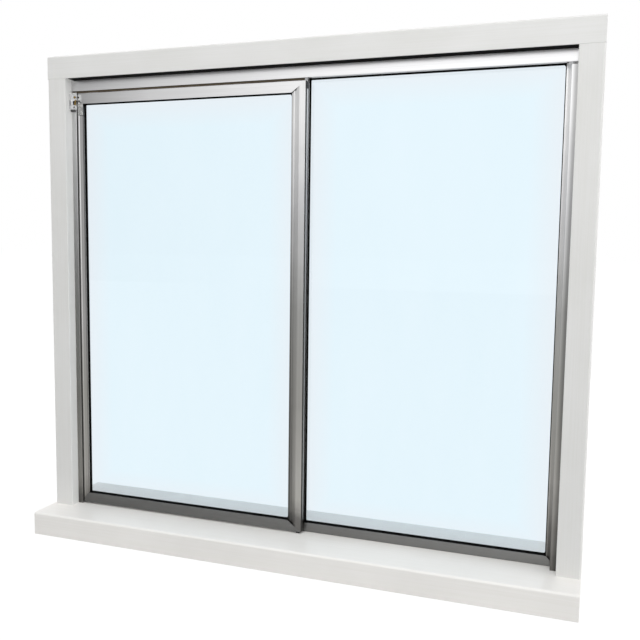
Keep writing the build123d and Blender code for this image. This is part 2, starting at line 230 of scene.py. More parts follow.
# %% Graded card for the metal to mirror
CARD_MIDDLE = (-0.9, -3.0, 1.9)
CARD_SIZE = (6.6, 3.0)
GREY_UP_TO = -3.0
GREY_STRENGTH = 0.40
WHITE_FROM = -0.6
WHITE_STRENGTH = 1.45
bpy.ops.object.select_all(action="DESELECT")
bpy.ops.mesh.primitive_plane_add(size=1.0, location=CARD_MIDDLE, rotation=(math.pi / 2, 0, 0))
card = bpy.context.object
card.name = "graded_card"
card.scale = (*CARD_SIZE, 1.0)
bpy.ops.object.transform_apply(location=True, rotation=True, scale=True)
for ray in ("camera", "diffuse", "transmission", "volume_scatter", "shadow"):
    setattr(card, "visible_" + ray, False)
card_finish, tree, out = new_finish("grey_to_white_card")
place = add_node(tree, "ShaderNodeTexCoord").outputs["Object"]
across = add_node(tree, "ShaderNodeSeparateXYZ", {0: place})
fade = add_node(
    tree, "ShaderNodeMapRange",
    {
        "Value": across.outputs["X"], "From Min": GREY_UP_TO, "From Max": WHITE_FROM,
        "To Min": GREY_STRENGTH, "To Max": WHITE_STRENGTH,
    },
)
glow = add_node(tree, "ShaderNodeEmission", {"Color": WHITE, "Strength": fade.outputs[0]})
tree.links.new(glow.outputs[0], out.inputs["Surface"])
card.data.materials.append(card_finish)
print("card:", CARD_SIZE[0], "by", CARD_SIZE[1], "m")

# %% [markdown]
# ## White gloss paint on timber
# The boards are planed softwood under several coats of white semi-gloss paint. The eye sees an almost even
# white, faint brush marks along the board and a soft mirror of whatever stands near. The brush marks are
# about 3 mm apart, and the film swells and sinks slowly over 150 mm or so. Boards that lie flat run along X
# and posts run along Z, so the finish is made with its pattern stretched each way. The sill's paint is set
# whiter than the other boards', as painted light for the stronger light that falls on it from above.

# %% Paint finish
BRUSH_MARK = 3.0 * MM
MARK_LENGTH = 220.0 * MM
SWELL = 150.0 * MM
BOARD_WHITES = ("#e3e3e1", "#e8e8e7")
# Painted light: the sill's whites are brighter than the boards' for the light from above.
SILL_WHITES = ("#f5f3f0", "#faf8f5")


def white_gloss_paint(name, along, low, high):
    """White semi-gloss paint between two whites, with brush marks along one axis."""
    finish, tree, out = new_finish(name)
    place = add_node(tree, "ShaderNodeTexCoord").outputs["Object"]
    scale = [1 / MARK_LENGTH if axis == along else 1 / BRUSH_MARK for axis in "XYZ"]
    stretched = add_node(tree, "ShaderNodeMapping", {"Vector": place, "Scale": scale})
    marks = add_node(
        tree, "ShaderNodeTexNoise",
        {"Vector": stretched.outputs[0], "Scale": 1.0, "Detail": 3.0, "Roughness": 0.6},
    )
    slow = add_node(
        tree, "ShaderNodeTexNoise", {"Vector": place, "Scale": 1 / SWELL, "Detail": 2.0, "Roughness": 0.5}
    )
    tint = add_node(tree, "ShaderNodeValToRGB", {"Fac": slow.outputs["Fac"]})
    set_ramp(tint, [(0.30, low), (0.70, high)])
    streak = add_node(tree, "ShaderNodeValToRGB", {"Fac": marks.outputs["Fac"]})
    set_ramp(streak, [(0.35, "#fcfcfb"), (0.60, "#ffffff")])
    colour = add_node(
        tree, "ShaderNodeMix", {"Factor": 1.0, 6: tint.outputs["Color"], 7: streak.outputs["Color"]},
        data_type="RGBA", blend_type="MULTIPLY",
    )
    film = add_node(
        tree, "ShaderNodeBump", {"Height": marks.outputs["Fac"], "Strength": 0.06, "Distance": 0.2 * MM}
    )
    swell = add_node(
        tree, "ShaderNodeBump",
        {"Height": slow.outputs["Fac"], "Normal": film.outputs[0], "Strength": 0.25, "Distance": 1.0 * MM},
    )
    rough = add_node(
        tree, "ShaderNodeMapRange", {"Value": slow.outputs["Fac"], "To Min": 0.26, "To Max": 0.38}
    )
    shader = add_node(
        tree, "ShaderNodeBsdfPrincipled",
        {
            "Base Color": colour.outputs[2], "Roughness": rough.outputs[0], "IOR": 1.5,
            "Normal": swell.outputs[0],
        },
    )
    tree.links.new(shader.outputs[0], out.inputs["Surface"])
    return finish


paint_on_head = white_gloss_paint("white_gloss_paint_on_head", "X", *BOARD_WHITES)
paint_on_posts = white_gloss_paint("white_gloss_paint_on_posts", "Z", *BOARD_WHITES)
paint_on_sill = white_gloss_paint("white_gloss_paint_on_sill", "X", *SILL_WHITES)
print("paints:", paint_on_head.name, paint_on_posts.name, paint_on_sill.name)

# %% [markdown]
# ## Satin anodised aluminium
# The frame is extruded aluminium with a brushed, clear anodised skin. It mirrors softly: fine lines run
# along each length, brighter and darker by turns. Its colour is painted dark grey low down and nearly
# silver high up, a painted reflection and shade of a darker room low down, which gives the frame its long
# shading from foot to head. Real brushing is finer than the picture can show, so the lines are drawn 1.2 mm
# apart.
#
# No two members are shaded alike. So one recipe paints the tones from foot to head, and then three kinds of
# painted light and shade that make a place lighter or darker: how far a face turns sideways, as the sloping
# beads do, how far along X it lies, and whether it lies in the strip beside a ledge.

# %% Aluminium finish
BRUSH_LINE = 1.2 * MM
LINE_LENGTH = 350.0 * MM
CLOUD = 60.0 * MM
UNEVEN = 0.10
LEDGE_STRIP = 2.0 * MM
LEDGE_EDGE = 0.5 * MM
SILL_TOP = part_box("sill_board")[1].z
HEADER_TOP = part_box("header_track")[1].z
NO_DRIFT = (0.0, 1.0, 1.0, 1.0)


def satin_aluminium(name, along, tones, bevel=(1.0, 1.0), drift=NO_DRIFT, ledge=1.0):
    """Brushed anodised aluminium, its lines along one axis and its painted reflection and shade by height.

    A bevel, painted light on sideways faces, has a factor low down and one high up. A drift paints light or
    shade along X: the X where it starts, the X where it is full, and its full factor low down and high up.
    The ledge is a factor of painted shade for the strip where the drift is full.
    """
    finish, tree, out = new_finish(name)
    place = add_node(tree, "ShaderNodeTexCoord").outputs["Object"]
    axes = add_node(tree, "ShaderNodeSeparateXYZ", {0: place})

    # Brushed lines, and clouds that make the tones by height a little uneven
    scale = [1 / LINE_LENGTH if axis == along else 1 / BRUSH_LINE for axis in "XYZ"]
    stretched = add_node(tree, "ShaderNodeMapping", {"Vector": place, "Scale": scale})
    lines = add_node(
        tree, "ShaderNodeTexNoise",
        {"Vector": stretched.outputs[0], "Scale": 1.0, "Detail": 4.0, "Roughness": 0.7},
    )
    streaks = add_node(
        tree, "ShaderNodeMapRange",
        {"Value": lines.outputs["Fac"], "From Min": 0.30, "From Max": 0.65, "To Min": 0.86},
    )
    cloud = add_node(
        tree, "ShaderNodeTexNoise", {"Vector": place, "Scale": 1 / CLOUD, "Detail": 4.0, "Roughness": 0.6}
    )
    height = add_node(
        tree, "ShaderNodeMapRange", {"Value": axes.outputs["Z"], "From Min": SILL_TOP, "From Max": HEADER_TOP}
    )
    uneven = add_node(
        tree, "ShaderNodeMath", {0: cloud.outputs["Fac"], 1: UNEVEN, 2: height.outputs[0]},
        operation="MULTIPLY_ADD",
    )
    level = add_node(
        tree, "ShaderNodeMath", {0: uneven.outputs[0], 1: UNEVEN / 2}, operation="SUBTRACT"
    ).outputs[0]
    # The tones by height are painted reflection and shade: dark low down, nearly silver high up.
    skin = add_node(tree, "ShaderNodeValToRGB", {"Fac": level})
    set_ramp(skin, tones)

    # Painted light on bevels, known by how far they turn sideways
    surface = add_node(tree, "ShaderNodeNewGeometry")
    facing = add_node(tree, "ShaderNodeSeparateXYZ", {0: surface.outputs["Normal"]})
    sideways = add_node(tree, "ShaderNodeMath", {0: facing.outputs["X"]}, operation="ABSOLUTE").outputs[0]
    on_bevel = add_node(
        tree, "ShaderNodeMapRange",
        {"Value": level, "From Min": 0.05, "From Max": 0.65, "To Min": bevel[0], "To Max": bevel[1]},
    )
    bevelled = add_node(
        tree, "ShaderNodeMapRange",
        {"Value": sideways, "From Min": 0.15, "From Max": 0.30, "To Min": 1.0, "To Max": on_bevel.outputs[0]},
    )

    # Painted light and shade along X, and the painted shade of the strip beside the ledge
    x = axes.outputs["X"]
    start, full, factor_low, factor_high = drift
    when_full = add_node(
        tree, "ShaderNodeMapRange",
        {"Value": level, "From Min": 0.15, "From Max": 0.75, "To Min": factor_low, "To Max": factor_high},
    )
    drifted = add_node(
        tree, "ShaderNodeMapRange",
        {"Value": x, "From Min": start, "From Max": full, "To Min": 1.0, "To Max": when_full.outputs[0]},
    )
    strip = full + math.copysign(LEDGE_STRIP, start - full)
    strip_full = strip + math.copysign(LEDGE_EDGE, full - start)
    shadow = add_node(
        tree, "ShaderNodeMapRange",
        {"Value": x, "From Min": strip, "From Max": strip_full, "To Min": 1.0, "To Max": ledge},
    )

    # The painted light and shade and the brush lines together, laid over the painted tones by height
    shade = bevelled.outputs[0]
    for factor in (drifted, shadow, streaks):
        product = add_node(tree, "ShaderNodeMath", {0: shade, 1: factor.outputs[0]}, operation="MULTIPLY")
        shade = product.outputs[0]
    colour = add_node(
        tree, "ShaderNodeMix", {"Factor": 1.0, 6: skin.outputs["Color"], 7: shade},
        data_type="RGBA", blend_type="MULTIPLY", clamp_result=True,
    )
    rough = add_node(
        tree, "ShaderNodeMapRange", {"Value": lines.outputs["Fac"], "To Min": 0.24, "To Max": 0.38}
    )
    grooves = add_node(
        tree, "ShaderNodeBump", {"Height": lines.outputs["Fac"], "Strength": 0.18, "Distance": 0.08 * MM}
    )
    shader = add_node(
        tree, "ShaderNodeBsdfPrincipled",
        {
            "Base Color": colour.outputs[2], "Metallic": 1.0, "Roughness": rough.outputs[0],
            "Normal": grooves.outputs[0],
        },
    )
    tree.links.new(shader.outputs[0], out.inputs["Surface"])
    return finish


print("tones run from", round(SILL_TOP, 4), "m to", round(HEADER_TOP, 4), "m")

# %% [markdown]
# ### The painted light and shade on each member
# Rails lie at one height, so two painted tones are enough for them, dark at the foot and silver at the head,
# and all rails are painted darker towards the left, a painted reflection of a darker room there. Uprights
# pass through all tones from foot to head, the right ones stay dark a little further up, and the stiles'
# sideways faces carry painted light and shade. The left stile of the sash is painted in the shade of its
# channel, apart from a painted highlight 4 mm wide beside the channel's edge. Low down, the meeting stile is
# painted darker towards the glass, and its last 4 mm beside the glass carry painted shade all the way up. The
# left channel is painted darker all over, and the right one carries a painted shadow of the post beside it.

# %% Aluminium on each member
# Painted reflection and shade: every list of tones runs from dark at the foot to silver at the head.
FOOT_TONES = [(0.02, "#858584"), (0.20, "#989896")]
HEAD_TONES = [(0.80, "#e2e2e2"), (1.0, "#eaeaeb")]
MIDDLE_AND_UP = [(0.28, "#979692"), (0.50, "#9a9a98"), (0.71, "#bfbfc0"), (0.90, "#e5e5e5")]
LEFT_TONES = [(0.020, "#767472"), (0.045, "#9c9a96"), (0.07, "#a9a7a2"), (0.12, "#a9a7a3")] + MIDDLE_AND_UP
RIGHT_TONES = [(0.02, "#706e6b"), (0.08, "#84827e"), (0.17, "#9f9d99")] + MIDDLE_AND_UP
SHADED_TONES = [
    (0.02, "#7a7875"), (0.08, "#9b9995"), (0.28, "#93928e"), (0.45, "#959493"), (0.62, "#8a8a89"),
    (0.90, "#8a8a8a"),
]
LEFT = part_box("left_channel")[0].x
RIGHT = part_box("right_channel")[1].x
CHANNEL_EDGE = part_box("left_channel")[1].x
GLASS_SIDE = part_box("sash_right_stile")[0].x
# Where the painted shade on the header and top rails starts, 200 mm in from the left.
LEFT_SHADE_START = LEFT + 200.0 * MM

# Painted reflection: header and rails are darker towards the left.
header_aluminium = satin_aluminium(
    "satin_anodised_aluminium_header", "X", HEAD_TONES, drift=(LEFT_SHADE_START, LEFT, 1.0, 0.80)
)
top_rail_aluminium = satin_aluminium(
    "satin_anodised_aluminium_top_rails", "X", HEAD_TONES, drift=(LEFT_SHADE_START, LEFT, 1.0, 0.64)
)
bottom_rail_aluminium = satin_aluminium(
    "satin_anodised_aluminium_bottom_rails", "X", FOOT_TONES, drift=(RIGHT, LEFT, 0.60, 1.0)
)
# Painted shade over the left stile, with a painted highlight in the strip beside the channel's edge.
left_stile_aluminium = satin_aluminium(
    "satin_anodised_aluminium_left_stile", "Z", SHADED_TONES, bevel=(0.95, 1.0),
    drift=(CHANNEL_EDGE + 6.4 * MM, CHANNEL_EDGE + 4.4 * MM, 1.3, 2.7),
)
# Painted light on the stiles' sideways faces: darker low down, brighter high up.
fixed_stile_aluminium = satin_aluminium(
    "satin_anodised_aluminium_fixed_stiles", "Z", RIGHT_TONES, bevel=(0.60, 1.42)
)
# Painted shade: darker towards the glass low down, and the strip beside the glass darker all the way up.
meeting_aluminium = satin_aluminium(
    "satin_anodised_aluminium_meeting_stile", "Z", LEFT_TONES, bevel=(0.85, 0.95),
    drift=(GLASS_SIDE + 20 * MM, GLASS_SIDE + 2 * MM, 0.33, 1.0), ledge=0.62,
)
# Painted reflection: the left channel is darker all over.
left_channel_aluminium = satin_aluminium(
    "satin_anodised_aluminium_left_channel", "Z", LEFT_TONES, drift=(0.0, LEFT, 0.80, 0.84)
)
# Painted shadow of the post on the right channel's last few millimetres.
right_channel_aluminium = satin_aluminium(
    "satin_anodised_aluminium_right_channel", "Z", RIGHT_TONES,
    drift=(RIGHT - 10 * MM, RIGHT - 4 * MM, 0.55, 0.55),
)
print("aluminium finishes:", len([m for m in bpy.data.materials if m.name.startswith("satin_anodised")]))

# %% [markdown]
# ## Float glass
# Clear float glass is flat and hard, with a faint cold tint that shows against white. A little dried haze
# from wiping, in slanting patches about 90 mm wide and 300 mm long, changes the gloss in places. Within 70
# mm of the rubber, where a cloth seldom reaches, dust greys the tint. The tint is in the glass itself, so
# it stays the same from every side.

# %% Glass finish
HAZE_WIDTH = 90 * MM
HAZE_LENGTH = 300 * MM
HAZE_LEAN = 0.4
DUST_FULL = 10 * MM
DUST_END = 70 * MM


def float_glass(pane):
    """Clear float glass for one pane, a little greyer towards its edges."""
    finish, tree, out = new_finish("clear_float_glass_of_" + pane)
    place = add_node(tree, "ShaderNodeTexCoord").outputs["Object"]
    wiped = add_node(
        tree, "ShaderNodeMapping",
        {"Vector": place, "Scale": (1 / HAZE_WIDTH, 1.0, 1 / HAZE_LENGTH), "Rotation": (0, HAZE_LEAN, 0)},
    )
    haze = add_node(
        tree, "ShaderNodeTexNoise",
        {"Vector": wiped.outputs[0], "Scale": 1.0, "Detail": 5.0, "Roughness": 0.6},
    )
    rough = add_node(
        tree, "ShaderNodeMapRange",
        {"Value": haze.outputs["Fac"], "From Min": 0.35, "From Max": 0.75, "To Min": 0.0, "To Max": 0.012},
    )
    tint = add_node(tree, "ShaderNodeValToRGB", {"Fac": haze.outputs["Fac"]})
    set_ramp(tint, [(0.30, "#e4f5fd"), (0.70, "#e6f6fe")])

    # The distance to the nearest edge of the pane decides how clean it is
    low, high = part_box(pane)
    axes = add_node(tree, "ShaderNodeSeparateXYZ", {0: place})
    x = axes.outputs["X"]
    z = axes.outputs["Z"]
    nearest = 1.0
    for larger, smaller in ((x, low.x), (high.x, x), (z, low.z), (high.z, z)):
        gap = add_node(tree, "ShaderNodeMath", {0: larger, 1: smaller}, operation="SUBTRACT")
        smallest = add_node(tree, "ShaderNodeMath", {0: gap.outputs[0], 1: nearest}, operation="MINIMUM")
        nearest = smallest.outputs[0]
    clean = add_node(
        tree, "ShaderNodeMapRange", {"Value": nearest, "From Min": DUST_FULL, "From Max": DUST_END}
    )
    colour = add_node(
        tree, "ShaderNodeMix", {"Factor": clean.outputs[0], 6: linear("#e9f1f7"), 7: tint.outputs["Color"]},
        data_type="RGBA",
    )
    shader = add_node(
        tree, "ShaderNodeBsdfPrincipled",
        {
            "Base Color": colour.outputs[2], "Roughness": rough.outputs[0], "IOR": 1.45,
            "Transmission Weight": 1.0,
        },
    )
    tree.links.new(shader.outputs[0], out.inputs["Surface"])
    return finish


sash_pane = float_glass("sash_glass")
fixed_pane = float_glass("fixed_glass")
print("glass:", sash_pane.name, fixed_pane.name)

# %% [markdown]
# ## Rubber, brush pile and nylon
# Glazing rubber is deep black and quite matt, and mirrors hardly anything. Brush pile is dark grey fibre,
# and the brush under the header has gone brown with dust. The guide and the end cap are black moulded
# nylon, the latch's foot is the same rubbed grey by use, and the wheels are white nylon, all with the soft
# even sheen of a moulded skin. They differ in colour, gloss, the size of their unevenness and how strongly
# they bend light, so one recipe makes them all.

# %% Rubber, pile and nylon finishes
def moulded(name, colours, grain, roughness, relief_depth, bending=1.35):
    """A plain moulded or extruded plastic, rubber or pile, uneven at one real size."""
    finish, tree, out = new_finish(name)
    place = add_node(tree, "ShaderNodeTexCoord").outputs["Object"]
    skin = add_node(
        tree, "ShaderNodeTexNoise", {"Vector": place, "Scale": 1 / grain, "Detail": 5.0, "Roughness": 0.65}
    )
    tint = add_node(tree, "ShaderNodeValToRGB", {"Fac": skin.outputs["Fac"]})
    set_ramp(tint, [(0.35, colours[0]), (0.70, colours[1])])
    rough = add_node(
        tree, "ShaderNodeMapRange",
        {"Value": skin.outputs["Fac"], "To Min": roughness[0], "To Max": roughness[1]},
    )
    relief = add_node(
        tree, "ShaderNodeBump", {"Height": skin.outputs["Fac"], "Strength": 0.3, "Distance": relief_depth}
    )
    shader = add_node(
        tree, "ShaderNodeBsdfPrincipled",
        {
            "Base Color": tint.outputs["Color"], "Roughness": rough.outputs[0], "IOR": bending,
            "Normal": relief.outputs[0],
        },
    )
    tree.links.new(shader.outputs[0], out.inputs["Surface"])
    return finish


glazing_rubber = moulded(
    "black_glazing_rubber", ("#040404", "#0b0b0b"), 4.0 * MM, (0.80, 0.95), 0.1 * MM, bending=1.15
)
brush_pile = moulded("dark_grey_brush_pile", ("#2a2a29", "#454543"), 1.0 * MM, (0.80, 0.95), 0.2 * MM)
dusty_pile = moulded("dusty_brown_brush_pile", ("#4d4439", "#7a6f60"), 1.2 * MM, (0.85, 0.95), 0.3 * MM)
black_nylon = moulded("black_moulded_nylon", ("#0e0e0e", "#1b1b1b"), 2.0 * MM, (0.38, 0.52), 0.05 * MM)
worn_nylon = moulded("worn_black_nylon", ("#2c2c2c", "#565553"), 3.0 * MM, (0.45, 0.60), 0.05 * MM)
white_nylon = moulded("white_moulded_nylon", ("#d9d8d2", "#e6e5e0"), 2.0 * MM, (0.35, 0.48), 0.05 * MM)
print("materials so far:", len(bpy.data.materials))

# %% [markdown]
# ## Latch metals
# The latch and the roller carriers are pressed steel with a dull zinc plating, which clouds to a patchy
# grey. On the pull, which every hand touches, it is mottled from mid grey to nearly white. The lever and
# one screw are brass that handling has turned brown in the low places. The other screw and the bolt have a
# dark waxed finish.

# %% Latch finishes
def small_metal(name, colours, grain, roughness):
    """A small metal fitting, clouded at one real size, from dull and rough to clean and smoother."""
    finish, tree, out = new_finish(name)
    place = add_node(tree, "ShaderNodeTexCoord").outputs["Object"]
    cloud = add_node(
        tree, "ShaderNodeTexNoise", {"Vector": place, "Scale": 1 / grain, "Detail": 6.0, "Roughness": 0.7}
    )
    tint = add_node(tree, "ShaderNodeValToRGB", {"Fac": cloud.outputs["Fac"]})
    set_ramp(tint, [(0.36, colours[0]), (0.64, colours[1])])
    rough = add_node(
        tree, "ShaderNodeMapRange",
        {"Value": cloud.outputs["Fac"], "To Min": roughness[0], "To Max": roughness[1]},
    )
    pits = add_node(
        tree, "ShaderNodeBump", {"Height": cloud.outputs["Fac"], "Strength": 0.35, "Distance": 0.1 * MM}
    )
    shader = add_node(
        tree, "ShaderNodeBsdfPrincipled",
        {
            "Base Color": tint.outputs["Color"], "Metallic": 1.0, "Roughness": rough.outputs[0],
            "Normal": pits.outputs[0],
        },
    )
    tree.links.new(shader.outputs[0], out.inputs["Surface"])
    return finish


zinc_plate = small_metal("dull_zinc_plate", ("#cfd0d1", "#f0f0f0"), 6.0 * MM, (0.50, 0.30))
mottled_zinc = small_metal("mottled_zinc_pull", ("#858584", "#dededc"), 3.0 * MM, (0.60, 0.40))
worn_brass = small_metal("worn_brass", ("#6f5632", "#b39a63"), 2.5 * MM, (0.45, 0.25))
dark_steel = small_metal("dark_waxed_steel", ("#2a2826", "#4a4744"), 1.5 * MM, (0.55, 0.35))
print("latch metals:", [m.name for m in (zinc_plate, mottled_zinc, worn_brass, dark_steel)])

# %% [markdown]
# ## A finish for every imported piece
# Most pieces are named here one by one. Gaskets, rails and the remaining stiles are known by how their
# names end, because the sash and the fixed light have the same ones.

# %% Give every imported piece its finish
FINISH_OF = {
    "head_board": paint_on_head, "sill_board": paint_on_sill,
    "left_post": paint_on_posts, "right_post": paint_on_posts,
    "header_track": header_aluminium,
    "left_channel": left_channel_aluminium, "right_channel": right_channel_aluminium,
    "sash_left_stile": left_stile_aluminium, "sash_right_stile": meeting_aluminium,
    "sash_glass": sash_pane, "fixed_glass": fixed_pane,
    # The head seal's black rubber is painted shadow: a dark strip under the head where there is only shade.
    "sash_bumper": glazing_rubber, "head_seal": glazing_rubber,
    "channel_brush": brush_pile, "meeting_brush": brush_pile, "head_brush": dusty_pile,
    "sash_end_cap": black_nylon, "bottom_guide": black_nylon,
    "latch_foot": worn_nylon, "track_wheels": white_nylon,
    "left_roller_carrier": zinc_plate, "right_roller_carrier": zinc_plate, "wheel_axles": zinc_plate,
    "latch_bracket": zinc_plate, "sash_latch_plate": zinc_plate, "sash_pull": mottled_zinc,
    "latch_screw": worn_brass, "latch_lever": worn_brass,
    "sash_plate_screw": dark_steel, "latch_bolt": dark_steel,
}
FINISH_BY_ENDING = {
    "_gasket": glazing_rubber, "_stile": fixed_stile_aluminium,
    "_top_rail": top_rail_aluminium, "_bottom_rail": bottom_rail_aluminium,
}


def finish_for(name):
    """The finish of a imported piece, by its own name or by what kind of piece it is."""
    if name in FINISH_OF:
        return FINISH_OF[name]
    return next(finish for ending, finish in FINISH_BY_ENDING.items() if name.endswith(ending))


def dress(piece, finish):
    """Put one finish in every material slot of a piece."""
    if not piece.material_slots:
        piece.data.materials.append(finish)
    for material_slot in piece.material_slots:
        material_slot.material = finish


for name, piece in nodes.items():
    dress(piece, finish_for(name))
print("finishes in use:", len({finish_for(name).name for name in nodes}))

# %% [markdown]
# ## Tools for shaping by hand
# The smallest fittings are shaped here by hand. A block or a disc is added at its own size and place, then
# faces and edges are picked by where they are or which way they face, and inset, pushed, bevelled or cut.
# Every finished piece keeps its place in its mesh, rides with the window and takes the place of its plainer
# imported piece.

# %% Tools for adding and picking
def only(*pieces):
    """Leave edit mode and select these pieces alone, the first one active."""
    if bpy.context.mode == "EDIT_MESH":
        bpy.ops.object.mode_set(mode="OBJECT")
    bpy.ops.object.select_all(action="DESELECT")
    for piece in pieces:
        piece.select_set(True)
    bpy.context.view_layer.objects.active = pieces[0]


def settle(piece, name):
    """Name a new piece and put its place, turn and scale into its mesh."""
    piece.name = name
    only(piece)
    bpy.ops.object.transform_apply(location=True, rotation=True, scale=True)
    return piece


def add_block(name, low, high):
    """A block between two corners."""
    bpy.ops.object.select_all(action="DESELECT")
    bpy.ops.mesh.primitive_cube_add(size=1.0, location=(low + high) / 2, scale=high - low)
    return settle(bpy.context.object, name)


def add_disc(name, middle, radius, depth, sides, turn=(math.pi / 2, 0, 0)):
    """A round block, with its axis along Y unless it is turned otherwise."""
    bpy.ops.object.select_all(action="DESELECT")
    bpy.ops.mesh.primitive_cylinder_add(
        vertices=sides, radius=radius, depth=depth, location=middle, rotation=turn
    )
    return settle(bpy.context.object, name)


def pick(piece, faces=None, edges=None):
    """Open a piece for editing with just those faces, or else edges, selected that a test accepts."""
    only(piece)
    bpy.ops.object.mode_set(mode="EDIT")
    bpy.ops.mesh.select_mode(type="FACE" if faces else "EDGE")
    bpy.ops.mesh.select_all(action="DESELECT")
    shape = bmesh.from_edit_mesh(piece.data)
    for face in shape.faces:
        if faces and faces(face.calc_center_median(), face.normal):
            face.select_set(True)
    for edge in shape.edges:
        if edges and edges(edge.verts[0].co, edge.verts[1].co):
            edge.select_set(True)
    bmesh.update_edit_mesh(piece.data)


# %% Tools for closing, cutting, rounding and fitting
SHARP = math.radians(35)
SCREW_SIDES = 32


def close(piece):
    """Turn all faces of a piece outwards and leave edit mode."""
    pick(piece, faces=lambda middle, normal: True)
    bpy.ops.mesh.normals_make_consistent(inside=False)
    bpy.ops.object.mode_set(mode="OBJECT")


def cut(piece, cutter):
    """Take the shape of a cutter out of a piece and throw the cutter away."""
    only(piece)
    hollow = piece.modifiers.new("hollow", "BOOLEAN")
    hollow.operation = "DIFFERENCE"
    hollow.solver = "EXACT"
    hollow.object = cutter
    bpy.ops.object.modifier_apply(modifier=hollow.name)
    bpy.data.objects.remove(cutter)


def soften(piece, width):
    """Round the sharp edges of a piece and smooth its curves."""
    only(piece)
    rounding = piece.modifiers.new("rounding", "BEVEL")
    rounding.width = width
    rounding.segments = 2
    rounding.angle_limit = SHARP
    bpy.ops.object.modifier_apply(modifier=rounding.name)
    bpy.ops.object.shade_smooth_by_angle(angle=SHARP)


def fit(piece, node, finish):
    """Finish a piece and put it in the place of a packed one."""
    close(piece)
    dress(piece, finish)
    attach(piece, "root")
    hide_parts(node)
    print(piece.name, "has", sum(len(face.vertices) - 2 for face in piece.data.polygons), "triangles")


def screw_head(name, low, high, shoulder):
    """A round head that fills a box, rounded at its front, which looks against Y."""
    middle = (low + high) / 2
    head = add_disc(name, middle, (high.x - low.x) / 2, high.y - low.y, SCREW_SIDES)
    pick(head, edges=lambda a, b: max(a.y, b.y) < middle.y)
    bpy.ops.mesh.bevel(offset=shoulder, segments=4)
    return head, Vector((middle.x, low.y, middle.z))


# %% [markdown]
# ## Slotted brass screw
# A pan head 5.4 mm wide holds the bracket to the post. Its shoulder is rounded over 0.7 mm and its crown
# rises a little. A slot 0.8 mm wide and 0.6 mm deep is sawn right across it, so a thin block is cut out of
# the head.

# %% Slotted brass screw
CROWN_MARGIN = 0.8 * MM
CROWN_RISE = 0.1 * MM
SLOT_REACH = Vector((4.0, 0.6, 0.4)) * MM
low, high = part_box("latch_screw")
slotted, front = screw_head("slotted_latch_screw", low, high, 0.7 * MM)
pick(slotted, faces=lambda place, normal: normal.y < -0.99)
bpy.ops.mesh.inset(thickness=CROWN_MARGIN, depth=CROWN_RISE)
close(slotted)
cut(slotted, add_block("slot", front - SLOT_REACH, front + SLOT_REACH))
soften(slotted, 0.06 * MM)
fit(slotted, "latch_screw", worn_brass)

# %% [markdown]
# ## Cross head screw
# The keeper on the sash is held by a dark screw 4 mm wide. Its recess is a cross whose arms narrow outwards
# and inwards, cut 0.5 mm deep. The cutter is a small block with its four sides drawn out and its inner end
# shrunk.

# %% Cross head screw
CORE_REACH = Vector((0.3, 0.5, 0.3)) * MM
ARM_LENGTH = 0.75 * MM
ARM_TAPER = 0.06 * MM
INNER_END = (0.6, 1.0, 0.6)
low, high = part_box("sash_plate_screw")
crossed, front = screw_head("cross_head_plate_screw", low, high, 0.5 * MM)
close(crossed)
cross = add_block("cross", front - CORE_REACH, front + CORE_REACH)
pick(cross, faces=lambda place, normal: abs(normal.y) < 0.5)
bpy.ops.mesh.inset(thickness=ARM_TAPER, depth=ARM_LENGTH, use_individual=True)
pick(cross, edges=lambda a, b: min(a.y, b.y) > low.y)
bpy.ops.transform.resize(value=INNER_END, center_override=front)
close(cross)
cut(crossed, cross)
soften(crossed, 0.05 * MM)
fit(crossed, "sash_plate_screw", dark_steel)

# %% [markdown]
# ## Brass latch tongue
# The tongue is stamped from brass 1.2 mm thick, 3.4 mm wide and 12.5 mm long, with round ends. A shallow
# hollow runs down its face, its foot is bent forward for a finger, a domed rivet holds it at the top, and
# it leans six degrees. A flat block has its corners rounded first, so that the hollow's inset follows the
# round ends.

# %% Brass latch tongue
TONGUE_HALF = Vector((1.7, 0.6, 6.25)) * MM
END_RADIUS = 1.65 * MM
HOLLOW_MARGIN = 0.55 * MM
HOLLOW_SLOPE = 0.20 * MM
HOLLOW_DEPTH = 0.35 * MM
BEND_BELOW = 2.5 * MM
FOOT_BELOW = 3.5 * MM
FOOT_FORWARD = 0.6 * MM
low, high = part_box("latch_lever")
middle = (low + high) / 2
tongue = add_block("stamped_latch_tongue", middle - TONGUE_HALF, middle + TONGUE_HALF)
pick(tongue, edges=lambda a, b: abs(a.y - b.y) > TONGUE_HALF.y)
bpy.ops.mesh.bevel(offset=END_RADIUS, segments=8)
pick(tongue, faces=lambda place, normal: normal.y < -0.9)
bpy.ops.mesh.inset(thickness=HOLLOW_MARGIN)
bpy.ops.mesh.inset(thickness=HOLLOW_SLOPE, depth=-HOLLOW_DEPTH)
pick(tongue, faces=lambda place, normal: True)
bpy.ops.mesh.bisect(plane_co=middle - Vector((0, 0, BEND_BELOW)), plane_no=(0, 0, 1))
pick(tongue, edges=lambda a, b: max(a.z, b.z) < middle.z - FOOT_BELOW)
bpy.ops.transform.translate(value=(0, -FOOT_FORWARD, 0))
close(tongue)
print("tongue without its rivet:", len(tongue.data.polygons), "faces")

